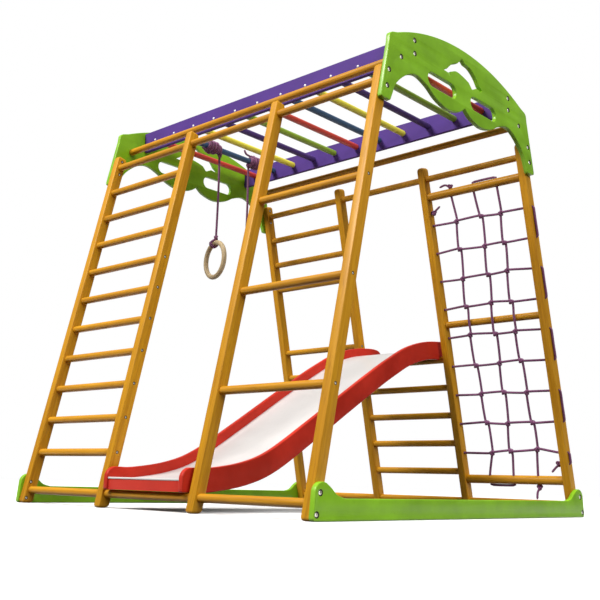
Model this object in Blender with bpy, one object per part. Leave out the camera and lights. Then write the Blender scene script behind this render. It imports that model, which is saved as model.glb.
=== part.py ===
"""An indoor wooden climbing frame for young children, with a slide, a climbing net and rings.

Two leaning walls of four posts each meet under a row of monkey bars.  The front wall has a narrow
ladder, an open middle bay and a wide ladder.  The back wall has rungs, the rung that the slide hooks
on, and the climbing net.  Green end plates and floor bars tie the two walls together.

Metres, +Z up.  X runs along the frame, -Y is the front, and the origin is on the floor under the
middle of the frame.
"""

import math

import bmesh
import bpy
from mathutils import Matrix, Vector

for old in list(bpy.data.objects):
    bpy.data.objects.remove(old, do_unlink=True)

# ---------------------------------------------------------------- driving dimensions
GAP = 0.0003  # between pieces that touch
FIT = 0.0004  # radial clearance of a round tenon in its socket
ROUND_SIDES = 10
ROPE_SIDES = 6

HALF_LENGTH = 0.750  # to the outer faces of the end plates
BOARD = 0.018  # thickness of every plywood panel

POST_WIDTH = 0.032  # along X
POST_DEPTH = 0.042  # across the wall
POST_FOOT_Y = 0.7985  # the middle of a post at the floor, from the middle of the frame
POST_TOP_Z = 1.477
LEAN = math.radians(12.62)  # of both walls, towards each other

RUNG_R = 0.014
SOCKET = 0.015  # how deep a rung goes into a post
LOW_RAIL_Z = 0.047
TOP_RAIL_Z = 1.424
LADDER_FIRST_Z = 0.1885  # second rung of the narrow ladder
LADDER_RUNGS = 10  # between the low and the top rail
WIDE_RUNG_Z = (0.386, 0.728, 1.068)
BACK_LADDER_RUNGS = 3  # under the top rail, at the narrow ladder's pitch
BACK_STEP_Z = (0.738, 0.615)  # the two rungs further down the same bay
HOOK_Z = 0.644  # the rung that carries the slide
HOOK_PITCH = 0.1185  # from it down to the four rungs below
HOOK_RUNGS_BELOW = 4

NET_RUNG_R = 0.018
NET_TENON_R = 0.013
NET_RUNG_Z = (1.345, 0.139)  # upper and lower
NET_MIDDLE_Z = 0.790
NET_MIDDLE_R = 0.015
ROPE_R = 0.005
ROPE_HOLE_R = 0.0065
NET_ROWS = 9
NET_FIRST_Z = 1.220
NET_ROW_PITCH = 0.1215
NET_COLUMN_PITCH = 0.1105
NET_ENDS_Z = (1.275, 0.205)  # where the net rope starts and ends
NET_DRIFT = ((0.008, 0.009, 0.024), (0.017, 0.017, 0.001), (0.000, 0.000, 0.012))  # top, middle, bottom
NET_BOW = 0.022  # how far the middle rung pushes the net forward

LONG_ROD_Y = 0.403
LONG_ROD_Z = 1.526
SIDE_BOARD_Y = 0.322
SIDE_BOARD_Z = 1.592
SIDE_BOARD_HEIGHT = 0.088
BAR_R = 0.013
BAR_COLOURS = "red blue yellow purple green red blue yellow purple green red".split()
BAR_FIRST_X = -0.657
BAR_PITCH = 0.129

FLOOR_BAR_HALF = 0.822
FLOOR_BAR_HEIGHT = 0.062
FLOOR_BAR_END_HEIGHT = 0.107

RAIL_WIDTH = 0.078  # of the slide's side rails, across their curve
SLIDE_HALF = 0.204
BED = 0.006
BED_LET_IN = 0.007  # how deep the bed sits in the rails' grooves
BED_OVERHANG = 0.031  # past the foot of the middle line, over the foot bar
HOOK_NOTCH_R = 0.0152  # cut into the rails' lower edges, over the rung that carries them
# The middle line of a slide rail, from the foot to the hooked end, as (y, z).
SLIDE_LINE = (
    (-0.783, 0.1005),
    (-0.70, 0.1020),
    (-0.545, 0.1260),
    (-0.405, 0.1740),
    (-0.20, 0.2900),
    (0.0, 0.4090),
    (0.19, 0.5200),
    (0.30, 0.5800),
    (0.41, 0.6335),
    (0.535, 0.6710),
    (0.655, 0.6865),
    (0.700, 0.6850),
)

RING_R = 0.079
RING_ROD_R = 0.011
RING_BAR = 1  # the rings hang from the second monkey bar
RING_Y = (-0.052, 0.137)
RING_TOP_Z = 1.158
RING_TURN = (math.radians(-12.0), math.radians(-42.0))  # of each ring's plane about Z
HITCH_R = 0.024
HITCH_LENGTH = 0.060

COLOURS = {
    "wood": (0.60, 0.30, 0.05),
    "green": (0.16, 0.42, 0.03),
    "purple": (0.10, 0.05, 0.30),
    "red": (0.45, 0.02, 0.02),
    "blue": (0.03, 0.10, 0.30),
    "yellow": (0.85, 0.50, 0.02),
    "white": (0.85, 0.84, 0.84),
    "rope": (0.13, 0.04, 0.13),
    "ring": (0.55, 0.42, 0.27),
}

TAN = math.tan(LEAN)
INNER_X = HALF_LENGTH - BOARD  # inner faces of the plates and floor bars
END_POST_X = INNER_X - GAP - POST_WIDTH / 2
POSTS_X = [-END_POST_X, -END_POST_X / 3, END_POST_X / 3, END_POST_X]
LADDER_PITCH = (TOP_RAIL_Z - LADDER_FIRST_Z) / LADDER_RUNGS
BAR_X = [BAR_FIRST_X + BAR_PITCH * i for i in range(len(BAR_COLOURS))]


# ---------------------------------------------------------------- helpers
def wall_y(side, z):
    """Where the middle of a wall is at height z; side is -1 at the front and 1 at the back."""
    return side * (POST_FOOT_Y - TAN * z)


def post_y(side, z, depth):
    """The same for a line that is depth outwards of the middle, square to the wall."""
    return wall_y(side, z) + side * depth / math.cos(LEAN)


def material(name):
    found = bpy.data.materials.get(name)
    if found:
        return found
    made = bpy.data.materials.new(name)
    made.use_nodes = True
    shader = made.node_tree.nodes["Principled BSDF"]
    shader.inputs["Base Color"].default_value = (*COLOURS[name], 1.0)
    shader.inputs["Roughness"].default_value = 0.85 if name == "rope" else 0.4
    shader.inputs["Metallic"].default_value = 0.0
    return made


def place(name, mesh_data, colour, at=(0, 0, 0), parent=None, smooth=None):
    """Closes a bmesh into a named object, with its faces pointing out."""
    bmesh.ops.recalc_face_normals(mesh_data, faces=mesh_data.faces)
    mesh = bpy.data.meshes.new(name)
    mesh_data.to_mesh(mesh)
    mesh_data.free()
    if smooth:
        mesh.shade_smooth()
        mesh.set_sharp_from_angle(angle=math.radians(smooth))
    made = bpy.data.objects.new(name, mesh)
    bpy.context.scene.collection.objects.link(made)
    made.location = at
    made.parent = parent
    if colour:
        mesh.materials.append(material(colour))
    return made


def cutter(name, mesh_data, at=(0, 0, 0), parent=None):
    made = place(name, mesh_data, None, at, parent)
    made.hide_render = True
    made.display_type = "WIRE"
    return made


def boolean(target, tool, operation="DIFFERENCE"):
    change = target.modifiers.new(tool.name, "BOOLEAN")
    change.object = tool
    change.operation = operation
    change.solver = "EXACT"


def add_rings(mesh_data, rings):
    """Skins a row of closed rings of points into one capped solid."""
    loops = [[mesh_data.verts.new(p) for p in ring] for ring in rings]
    count = len(loops[0])
    for a, b in zip(loops, loops[1:]):
        for i in range(count):
            j = (i + 1) % count
            mesh_data.faces.new((a[i], a[j], b[j], b[i]))
    mesh_data.faces.new(reversed(loops[0]))
    mesh_data.faces.new(loops[-1])


def add_cylinder(mesh_data, start, end, radius, sides=ROUND_SIDES):
    """A capped cylinder from start to end; a list of (share, radius) gives it steps."""
    start, end = Vector(start), Vector(end)
    steps = radius if isinstance(radius, list) else [(0.0, radius), (1.0, radius)]
    turn = (end - start).to_track_quat("Z", "Y").to_matrix()
    rings = []
    for share, r in steps:
        centre = start.lerp(end, share)
        ring = []
        for i in range(sides):
            angle = math.tau * (i + 0.5) / sides
            ring.append(centre + turn @ Vector((r * math.cos(angle), r * math.sin(angle), 0)))
        rings.append(ring)
    add_rings(mesh_data, rings)


def add_tube(mesh_data, points, radius, sides=ROPE_SIDES, phase=0.5):
    """A capped tube along a row of points, with mitred corners."""
    points = [Vector(p) for p in points]
    heads = [(b - a).normalized() for a, b in zip(points, points[1:])]
    up = heads[0].orthogonal().normalized()
    rings = []
    for i, point in enumerate(points):
        before, after = heads[max(i - 1, 0)], heads[min(i, len(heads) - 1)]
        if i:
            up = (up - before * up.dot(before)).normalized()
        side = before.cross(up)
        mitre = (before + after).normalized()
        ring = []
        for k in range(sides):
            angle = math.tau * (k + phase) / sides
            spoke = radius * (math.cos(angle) * up + math.sin(angle) * side)
            ring.append(point + spoke - before * (spoke.dot(mitre) / before.dot(mitre)))
        rings.append(ring)
        up = before.rotation_difference(after) @ up
    add_rings(mesh_data, rings)


def add_ball(mesh_data, centre, radius):
    bmesh.ops.create_uvsphere(
        mesh_data, u_segments=6, v_segments=3, radius=radius, matrix=Matrix.Translation(centre)
    )


def prism(outline, x0, x1):
    """A flat outline of (y, z) points, made thick from x0 to x1."""
    made = bmesh.new()
    add_rings(made, [[(x, y, z) for y, z in outline] for x in (x0, x1)])
    return made


def arc(centre, radius, start, end, steps):
    """Points on a circle in the YZ plane, from one angle to another in degrees."""
    made = []
    for i in range(steps + 1):
        angle = math.radians(start + (end - start) * i / steps)
        made.append((centre[0] + radius * math.cos(angle), centre[1] + radius * math.sin(angle)))
    return made


def smooth_line(knots, steps):
    """A Catmull-Rom curve through the knots."""
    knots = [Vector(k) for k in knots]
    ends = [2 * knots[0] - knots[1], *knots, 2 * knots[-1] - knots[-2]]
    made = []
    for a, b, c, d in zip(ends, ends[1:], ends[2:], ends[3:]):
        for i in range(steps):
            t = i / steps
            square = (2 * a - 5 * b + 4 * c - d) * t**2
            cube = (3 * b - a - 3 * c + d) * t**3
            made.append((2 * b + (c - a) * t + square + cube) / 2)
    return made + [knots[-1]]


# ---------------------------------------------------------------- posts and rungs
sockets = {}  # (side, post number) -> the holes drilled in that post
back_post_rungs = bmesh.new()  # the ten rungs that are glued into the second back post


def drill(side, post, start, end, radius):
    sockets.setdefault((side, post), []).append((start, end, radius))


def face_x(post, direction):
    return POSTS_X[post] + direction * POST_WIDTH / 2


def span(left, right, fixed_left=False, fixed_right=False):
    """The X ends of a rung between two posts, let into each of them."""
    deep = SOCKET - GAP
    start = POSTS_X[left] if fixed_left else face_x(left, 1) - deep
    end = POSTS_X[right] if fixed_right else face_x(right, -1) + deep
    return start, end


def make_rung(name, side, left, right, z, radius=RUNG_R):
    """One rung between two neighbouring posts, with the sockets that hold it."""
    start, end = span(left, right)
    y = wall_y(side, z)
    drill(side, left, (start - GAP, y, z), (face_x(left, 1) + 0.01, y, z), radius + FIT)
    drill(side, right, (face_x(right, -1) - 0.01, y, z), (end + GAP, y, z), radius + FIT)
    made = bmesh.new()
    half = (end - start) / 2
    add_cylinder(made, (-half, 0, 0), (half, 0, 0), radius)
    return place(name, made, "wood", at=(start + half, y, z), smooth=40)


def make_rail(name, side, z):
    """A rail that runs through the two middle posts and into the two end posts."""
    end = face_x(3, -1) + SOCKET - GAP
    y = wall_y(side, z)
    for post in (1, 2):
        x = POSTS_X[post]
        drill(side, post, (x - POST_WIDTH, y, z), (x + POST_WIDTH, y, z), RUNG_R + FIT)
    drill(side, 0, (-end - GAP, y, z), (face_x(0, 1) + 0.01, y, z), RUNG_R + FIT)
    drill(side, 3, (face_x(3, -1) - 0.01, y, z), (end + GAP, y, z), RUNG_R + FIT)
    made = bmesh.new()
    add_cylinder(made, (-end, 0, 0), (end, 0, 0), RUNG_R)
    place(name, made, "wood", at=(0, y, z), smooth=40)


def make_glued_rung(left, right, z):
    """A rung of the back wall that is part of the second back post."""
    fixed_right = right == 1
    start, end = span(left, right, fixed_left=left == 1, fixed_right=fixed_right)
    y = wall_y(1, z)
    if fixed_right:
        drill(1, left, (start - GAP, y, z), (face_x(left, 1) + 0.01, y, z), RUNG_R + FIT)
    else:
        drill(1, right, (face_x(right, -1) - 0.01, y, z), (end + GAP, y, z), RUNG_R + FIT)
    add_cylinder(back_post_rungs, (start, y, z), (end, y, z), RUNG_R)


def make_net_rung(name, z):
    """A thick rung with turned-down tenons, drilled for the three upright ropes."""
    start, end = span(2, 3)
    y = wall_y(1, z)
    drill(1, 2, (start - GAP, y, z), (face_x(2, 1) + 0.01, y, z), NET_TENON_R + FIT)
    drill(1, 3, (face_x(3, -1) - 0.01, y, z), (end + GAP, y, z), NET_TENON_R + FIT)
    length = end - start
    shoulder = (SOCKET + GAP) / length
    steps = [
        (0.0, NET_TENON_R),
        (shoulder - 0.0002, NET_TENON_R),
        (shoulder, NET_RUNG_R),
        (1 - shoulder, NET_RUNG_R),
        (1.0002 - shoulder, NET_TENON_R),
        (1.0, NET_TENON_R),
    ]
    made = bmesh.new()
    add_cylinder(made, (-length / 2, 0, 0), (length / 2, 0, 0), steps)
    rung = place(name, made, "wood", at=(start + length / 2, y, z), smooth=40)
    holes = bmesh.new()
    for x in NET_X:
        reach = 2 * NET_RUNG_R
        top = Vector((x, wall_y(1, z + reach), z + reach))
        bottom = Vector((x, wall_y(1, z - reach), z - reach))
        add_cylinder(holes, bottom, top, ROPE_HOLE_R, ROPE_SIDES)
    boolean(rung, cutter(f"{name}_holes", holes))


def make_post(name, side, number):
    """A leaning post with softened edges, a rounded-over top and a foot cut level with the floor."""
    length = POST_TOP_Z / math.cos(LEAN)
    edge = 0.006
    made = bmesh.new()
    rings = []
    steps = ((None, 0.0), (length - 0.010, 0.0), (length - 0.003, 0.003), (length, 0.009))
    for along, inset in steps:
        half_x = POST_WIDTH / 2 - inset
        half_y = POST_DEPTH / 2 - inset
        cut = edge * 0.3
        ring = []
        for sx, sy in ((1, 1), (-1, 1), (-1, -1), (1, -1)):
            corner = [
                (sx * half_x, sy * (half_y - edge)),
                (sx * (half_x - cut), sy * (half_y - cut)),
                (sx * (half_x - edge), sy * half_y),
            ]
            ring += corner if sx * sy > 0 else corner[::-1]
        turned = []
        for x, v in ring:
            w = -v * side * TAN if along is None else along
            y = v * math.cos(LEAN) - side * w * math.sin(LEAN)
            z = w * math.cos(LEAN) + side * v * math.sin(LEAN)
            turned.append((x, y, z))
        rings.append(turned)
    add_rings(made, rings)
    post = place(name, made, "wood", at=(POSTS_X[number], side * POST_FOOT_Y, 0), smooth=25)
    holes = bmesh.new()
    for start, end, radius in sockets[(side, number)]:
        sides = ROPE_SIDES if radius == ROPE_HOLE_R else ROUND_SIDES
        add_cylinder(holes, start, end, radius, sides)
    boolean(post, cutter(f"{name}_holes", holes))
    return post


def make_walls():
    for side, word in ((-1, "front"), (1, "back")):
        make_rail(f"{word}_low_rail", side, LOW_RAIL_Z)
        make_rail(f"{word}_top_rail", side, TOP_RAIL_Z)
    for i in range(LADDER_RUNGS):
        make_rung(f"narrow_ladder_rung_{i + 1:02d}", -1, 0, 1, LADDER_FIRST_Z + LADDER_PITCH * i)
    for i, z in enumerate(WIDE_RUNG_Z, start=1):
        make_rung(f"wide_ladder_rung_{i}", -1, 2, 3, z)
    for i in range(BACK_LADDER_RUNGS):
        make_glued_rung(0, 1, TOP_RAIL_Z - LADDER_PITCH * (i + 1))
    for z in BACK_STEP_Z:
        make_glued_rung(0, 1, z)
    for i in range(HOOK_RUNGS_BELOW + 1):
        make_glued_rung(1, 2, HOOK_Z - HOOK_PITCH * i)
    make_net_rung("net_upper_rung", NET_RUNG_Z[0])
    make_net_rung("net_lower_rung", NET_RUNG_Z[1])
    make_rung("net_middle_rung", 1, 2, 3, NET_MIDDLE_Z, NET_MIDDLE_R)
    for z in (*NET_ROW_Z, *NET_ENDS_Z):
        for post in (2, 3):
            if z == NET_ENDS_Z[0] and post == 3 or z == NET_ENDS_Z[1] and post == 2:
                continue
            x, y = POSTS_X[post], wall_y(1, z)
            drill(1, post, (x - POST_WIDTH, y, z), (x + POST_WIDTH, y, z), ROPE_HOLE_R)
    for number in range(4):
        make_post(f"front_post_{number + 1}", -1, number)
        name = f"back_post_{number + 1}" if number != 1 else "back_post_2_and_rungs"
        post = make_post(name, 1, number)
        if number == 1:
            boolean(post, cutter("back_post_2_rungs", back_post_rungs), "UNION")


# ---------------------------------------------------------------- climbing net
NET_X = [(POSTS_X[2] + POSTS_X[3]) / 2 + NET_COLUMN_PITCH * i for i in (-1, 0, 1)]
NET_ROW_Z = [NET_FIRST_Z - NET_ROW_PITCH * i for i in range(NET_ROWS)]


def turn_on_face(x_face, direction, z_from, z_to, dodge=None):
    """The rope's way down the outside of a post, from one hole to the next, past a rung at dodge."""
    out = 0.0065 * direction
    corner = 0.006
    upper, lower = z_from - corner, z_to + corner
    made = [
        (x_face + 0.3 * out, wall_y(1, z_from), z_from),
        (x_face + out, wall_y(1, upper), upper),
    ]
    if dodge:
        for z in (dodge + 0.012, dodge - 0.012):
            made.append((x_face + out, post_y(1, z, RUNG_R + 1.5 * ROPE_R), z))
    made += [
        (x_face + out, wall_y(1, lower), lower),
        (x_face + 0.3 * out, wall_y(1, z_to), z_to),
    ]
    return made


def net_bow(z):
    """How far the taut net stands off its wall's middle plane."""
    return -NET_BOW * max(0.0, 1.0 - abs(z - NET_MIDDLE_Z) / 0.40)


def crossing(column, row):
    """Where an upright rope crosses a level one; the uprights wander a little sideways."""
    top, middle, bottom = NET_DRIFT[column]
    share, z = row / (NET_ROWS - 1), NET_ROW_Z[row]
    drift = top * (1 - share) * (1 - 2 * share) + 4 * middle * share * (1 - share)
    drift += bottom * share * (2 * share - 1)
    return (NET_X[column] + drift, post_y(1, z, net_bow(z)), z)


def net_rows_route():
    """The level rope, from its knot beside the third post to its knot beside the fourth."""
    left, right = face_x(2, -1), face_x(3, 1)
    start, end = NET_ENDS_Z
    route = [(face_x(2, 1) + 0.012, wall_y(1, start), start)]
    route += turn_on_face(left, -1, start, NET_ROW_Z[0])
    ends = (face_x(2, 1) + ROPE_R, face_x(3, -1) - ROPE_R)
    for i, z in enumerate(NET_ROW_Z):
        level = [(ends[0], wall_y(1, z), z), *(crossing(k, i) for k in range(3)), (ends[1], wall_y(1, z), z)]
        route += level if i % 2 == 0 else level[::-1]
        below = NET_ROW_Z[i + 1] if i + 1 < NET_ROWS else end
        if i % 2 == 0:
            route += turn_on_face(right, 1, z, below)
        else:
            between = [HOOK_Z - HOOK_PITCH * k for k in range(HOOK_RUNGS_BELOW + 1)]
            dodge = next((r for r in between if below < r < z), None)
            route += turn_on_face(left, -1, z, below, dodge)
    route.append((face_x(3, -1) - 0.012, wall_y(1, end), end))
    return route


def net_column(column):
    """An upright rope's points from the upper rung to the lower one, in front of the middle rung."""
    upper, lower = NET_RUNG_Z
    x = NET_X[column]
    made = [(x, wall_y(1, z), z) for z in (upper, upper - NET_RUNG_R - ROPE_R)]
    for row in range(NET_ROWS):
        made.append(crossing(column, row))
        if NET_ROW_Z[row] > NET_MIDDLE_Z > NET_ROW_Z[row] - NET_ROW_PITCH:
            middle_x = (crossing(column, row)[0] + crossing(column, row + 1)[0]) / 2
            made.append((middle_x, post_y(1, NET_MIDDLE_Z, -NET_BOW), NET_MIDDLE_Z))
    return made + [(x, wall_y(1, z), z) for z in (lower + NET_RUNG_R + ROPE_R, lower)]


def net_columns_route():
    """The upright rope: down the first column, up the second and down the third."""
    over = NET_RUNG_Z[0] + NET_RUNG_R + 1.15 * ROPE_R
    under = NET_RUNG_Z[1] - NET_RUNG_R - 1.15 * ROPE_R
    first, second, third = NET_X
    corner = 0.006

    def across(z, inward, left, right):
        """From one column to the next, level at z, with its corners taken off."""
        tip = z + inward * corner / 2
        return [
            (left, wall_y(1, tip), tip),
            (left + corner, wall_y(1, z), z),
            (right - corner, wall_y(1, z), z),
            (right, wall_y(1, tip), tip),
        ]

    return [
        (first, wall_y(1, over), over),
        *net_column(0),
        *across(under, 1, first, second),
        *net_column(1)[::-1],
        *across(over, -1, second, third),
        *net_column(2),
        (third, wall_y(1, under), under),
    ]


def make_net():
    rows_route = net_rows_route()
    columns_route = net_columns_route()
    rows = bmesh.new()
    add_tube(rows, rows_route, ROPE_R)
    net = place("climbing_net", rows, "rope", smooth=60)
    columns = bmesh.new()
    add_tube(columns, columns_route, ROPE_R * 0.98, phase=0.2)
    boolean(net, cutter("net_columns", columns), "UNION")
    knots = bmesh.new()
    for column in range(3):
        for row in range(NET_ROWS):
            add_ball(knots, crossing(column, row), 1.7 * ROPE_R)
    for point in (rows_route[0], rows_route[-1], columns_route[0], columns_route[-1]):
        add_ball(knots, point, 1.9 * ROPE_R)
    boolean(net, cutter("net_knots", knots), "UNION")


# ---------------------------------------------------------------- end plates and floor bars
def mirrored(half):
    """A closed outline from its +Y half, which starts and ends on the middle line."""
    return half + [(-y, z) for y, z in half[-2:0:-1]]


def plate_outline():
    """Half of an end plate: scalloped underside, leg along the post, then the arched top."""
    top, crown, shoulder = 1.700, 1.0368, (0.4625, 1.592)
    leg_z = 1.345

    def outer(z):
        return wall_y(1, z) + POST_DEPTH / 2 / math.cos(LEAN)

    underside = [
        (0.0, 1.465),
        (0.040, 1.440),
        (0.115, 1.427),
        (0.188, 1.443),
        (0.245, 1.473),
        (0.310, 1.490),
        (0.370, 1.470),
        (0.430, 1.420),
        (0.455, 1.370),
        (0.464, leg_z),
    ]
    half = [tuple(p) for p in smooth_line(underside, 3)]
    half += [(outer(leg_z) - 0.008, leg_z), (outer(leg_z + 0.008), leg_z + 0.008)]
    half += [(outer(1.550), 1.550), shoulder]
    steps = 9
    for i in range(1, steps + 1):
        y = 0.440 * (1 - i / steps)
        half.append((y, top - crown + math.sqrt(crown**2 - y**2)))
    return mirrored(half)


def slot_outline(middle, z, half_length=0.092, half_height=0.0275):
    """A hand slot with round ends."""
    reach = half_length - half_height
    near = arc((middle + reach, z), half_height, -90, 90, 5)
    return near + arc((middle - reach, z), half_height, 90, 270, 5)


def dolphin_outline():
    """A plain leaping dolphin: an arched back with one fin, a slim belly and a forked tail."""
    back = smooth_line([(-0.118, 1.586), (-0.085, 1.615), (-0.045, 1.634)], 3)
    fin = [(-0.016, 1.663)]
    rump = smooth_line([(0.006, 1.649), (0.045, 1.643), (0.082, 1.620), (0.105, 1.594)], 3)
    nose = [(0.124, 1.582), (0.112, 1.574), (0.085, 1.578), (0.052, 1.564)]
    belly = smooth_line([(0.030, 1.583), (-0.010, 1.593), (-0.055, 1.598), (-0.092, 1.584)], 3)
    tail = [(-0.098, 1.561), (-0.113, 1.574), (-0.138, 1.575)]
    return [tuple(p) for p in [*back, *fin, *rump, *nose, *belly, *tail]]


def make_plates():
    for x_sign, word in ((-1, "left"), (1, "right")):
        x0, x1 = sorted((x_sign * INNER_X, x_sign * HALF_LENGTH))
        plate = place(f"{word}_end_plate", prism(plate_outline(), x0, x1), "green", smooth=30)
        through = (x0 - BOARD, x1 + BOARD)
        cuts = (slot_outline(-0.150, 1.509), slot_outline(0.132, 1.509), dolphin_outline())
        for i, outline in enumerate(cuts):
            boolean(plate, cutter(f"{word}_plate_cut_{i + 1}", prism(outline, *through)))
        place(f"{word}_floor_bar", prism(floor_bar_outline(), x0, x1), "green", smooth=30)


def floor_bar_outline():
    """Half of a floor bar: flat underneath, with a raised round end over each post's foot."""
    end, high, low = FLOOR_BAR_HALF, FLOOR_BAR_END_HEIGHT, FLOOR_BAR_HEIGHT
    half = [(0.0, 0.0), (end - 0.010, 0.0), (end, 0.010)]
    half += arc((end - 0.040, high - 0.034), 0.034, 15, 100, 5)
    fall = [(end - 0.075, high - 0.012), (end - 0.105, low + 0.008), (end - 0.135, low)]
    half += [tuple(p) for p in smooth_line(fall, 2)]
    half.append((0.0, low))
    return mirrored(half)


# ---------------------------------------------------------------- monkey bars
def make_monkey_bars():
    half = INNER_X - GAP
    inner_face = SIDE_BOARD_Y - BOARD / 2
    let_in = BOARD / 2
    for side, word in ((-1, "front"), (1, "back")):
        made = bmesh.new()
        bmesh.ops.create_cube(
            made, size=1.0, matrix=Matrix.Diagonal((2 * half, BOARD, SIDE_BOARD_HEIGHT, 1.0))
        )
        board = place(f"{word}_side_board", made, "purple", at=(0, side * SIDE_BOARD_Y, SIDE_BOARD_Z))
        holes = bmesh.new()
        for x in BAR_X:
            add_cylinder(
                holes,
                (x, side * (inner_face - 0.01), SIDE_BOARD_Z),
                (x, side * (inner_face + let_in), SIDE_BOARD_Z),
                BAR_R + FIT,
            )
        boolean(board, cutter(f"{word}_side_board_holes", holes))
        made = bmesh.new()
        add_cylinder(made, (-half, 0, 0), (half, 0, 0), RUNG_R)
        place(f"{word}_long_rod", made, "wood", at=(0, side * LONG_ROD_Y, LONG_ROD_Z), smooth=40)
    reach = inner_face + let_in - GAP
    for i, (x, colour) in enumerate(zip(BAR_X, BAR_COLOURS)):
        made = bmesh.new()
        add_cylinder(made, (0, -reach, 0), (0, reach, 0), BAR_R)
        place(f"monkey_bar_{i + 1:02d}_{colour}", made, colour, at=(x, 0, SIDE_BOARD_Z), smooth=40)


# ---------------------------------------------------------------- slide
HOOK_Y = wall_y(1, HOOK_Z)


def slide_line(offset=0.0, start=0.0, end=0.0):
    """The rails' middle line, moved square to itself, with its ends pulled in."""
    line = smooth_line([(y - HOOK_Y, z - HOOK_Z) for y, z in SLIDE_LINE], 2)
    moved = []
    for i, point in enumerate(line):
        head = (line[min(i + 1, len(line) - 1)] - line[max(i - 1, 0)]).normalized()
        pull = start if i == 0 else -end if i == len(line) - 1 else 0.0
        y = point.x - head.y * offset + head.x * pull
        z = point.y + head.x * offset + head.y * pull
        moved.append((y, z))
    return moved


def rail_outline():
    """A slide rail seen from the side, with its upper corners rounded off."""
    half = RAIL_WIDTH / 2
    lower = slide_line(-half)
    foot, tip = slide_line()[0], slide_line()[-1]
    round_tip = arc(tip, half, -90 - 3, 84, 8)[1:-1]
    upper = slide_line(half)[::-1]
    round_foot = arc((foot[0], foot[1]), half, 90, 160, 5)[1:]
    heel = [(foot[0] - half, foot[1] - half + 0.006), (foot[0] - half + 0.006, foot[1] - half)]
    return lower + round_tip + upper + round_foot + heel


def strip(lower_offset, upper_offset, start, end):
    """A thin band along the slide's line, as an outline."""
    return slide_line(lower_offset, start, end) + slide_line(upper_offset, start, end)[::-1]


def make_slide():
    hook = bpy.data.objects.new("slide_hook_axis", None)
    hook.location = (0, HOOK_Y, HOOK_Z)
    bpy.context.scene.collection.objects.link(hook)
    inner = SLIDE_HALF - BOARD
    foot, tip = slide_line()[0], slide_line()[-1]
    for x_sign, word in ((-1, "left"), (1, "right")):
        x0, x1 = sorted((x_sign * inner, x_sign * SLIDE_HALF))
        rail = place(f"slide_{word}_rail", prism(rail_outline(), x0, x1), "red", parent=hook, smooth=30)
        groove = strip(-BED / 2 - GAP, BED / 2 + GAP, -BED_OVERHANG - GAP, 0.012)
        x0, x1 = sorted((x_sign * (inner - 0.01), x_sign * (inner + BED_LET_IN + GAP)))
        boolean(rail, cutter(f"slide_{word}_groove", prism(groove, x0, x1), parent=hook))
        notch = bmesh.new()
        x0, x1 = sorted((x_sign * (inner - 0.01), x_sign * (SLIDE_HALF + 0.01)))
        add_cylinder(notch, (x0, 0, 0), (x1, 0, 0), HOOK_NOTCH_R)
        boolean(rail, cutter(f"slide_{word}_notch", notch, parent=hook))
    bed_half = inner + BED_LET_IN
    bed = prism(strip(-BED / 2, BED / 2, -BED_OVERHANG, 0.0123), -bed_half, bed_half)
    place("slide_bed", bed, "white", parent=hook, smooth=30)
    batten_half = inner - GAP
    under_bed = foot[1] - BED / 2 - 2 * GAP
    foot_bar = [
        (foot[0] - BED_OVERHANG, foot[1] - RAIL_WIDTH / 2 + 0.001),
        (foot[0] - 0.006, foot[1] - RAIL_WIDTH / 2 + 0.001),
        (foot[0] - 0.006, under_bed),
        (foot[0] - BED_OVERHANG, under_bed),
    ]
    place("slide_foot_bar", prism(foot_bar, -batten_half, batten_half), "red", parent=hook)
    batten_top = tip[1] - BED / 2 - 0.003
    batten_y = RUNG_R + 0.004
    batten = [
        (batten_y, -0.006),
        (batten_y + 0.022, -0.006),
        (batten_y + 0.022, batten_top),
        (batten_y, batten_top),
    ]
    place("slide_hook_batten", prism(batten, -batten_half, batten_half), "wood", parent=hook)


# ---------------------------------------------------------------- rings
def ring_rope_points():
    """A rope from under its hitch to the ring, hanging down, with the least bow in it."""
    top = -(HITCH_R + GAP)
    bottom = RING_TOP_Z + GAP - SIDE_BOARD_Z
    count = 16
    points = []
    for i in range(count + 1):
        share = i / count
        points.append((0.003 * math.sin(math.pi * share), 0.0, top + (bottom - top) * share))
    return points


def make_rope(name, points):
    curve = bpy.data.curves.new(name, "CURVE")
    curve.dimensions = "3D"
    curve.bevel_depth = ROPE_R
    curve.bevel_resolution = 2
    curve.use_fill_caps = True
    curve.materials.append(material("rope"))
    spline = curve.splines.new("POLY")
    spline.points.add(len(points) - 1)
    for point, place_at in zip(spline.points, points):
        point.co = (*place_at, 1.0)
    made = bpy.data.objects.new(name, curve)
    bpy.context.scene.collection.objects.link(made)
    return made


def make_ring(name, rope, turn):
    """A round wooden ring whose origin is the middle of its rod where the rope holds it."""
    made = bmesh.new()
    around, across = 22, 6
    loops = []
    for i in range(around):
        angle = math.tau * i / around
        loop = []
        for k in range(across):
            small = math.tau * (k + 0.5) / across
            r = RING_R + RING_ROD_R * math.cos(small)
            y = RING_ROD_R * math.sin(small)
            loop.append(made.verts.new((r * math.sin(angle), y, r * math.cos(angle) - RING_R)))
        loops.append(loop)
    for i in range(around):
        a, b = loops[i], loops[(i + 1) % around]
        for k in range(across):
            j = (k + 1) % across
            made.faces.new((a[k], a[j], b[j], b[k]))
    at = (0, 0, RING_TOP_Z - RING_ROD_R - SIDE_BOARD_Z)
    ring = place(name, made, "ring", at=at, parent=rope, smooth=60)
    ring.rotation_euler = (0, 0, turn)


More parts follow.
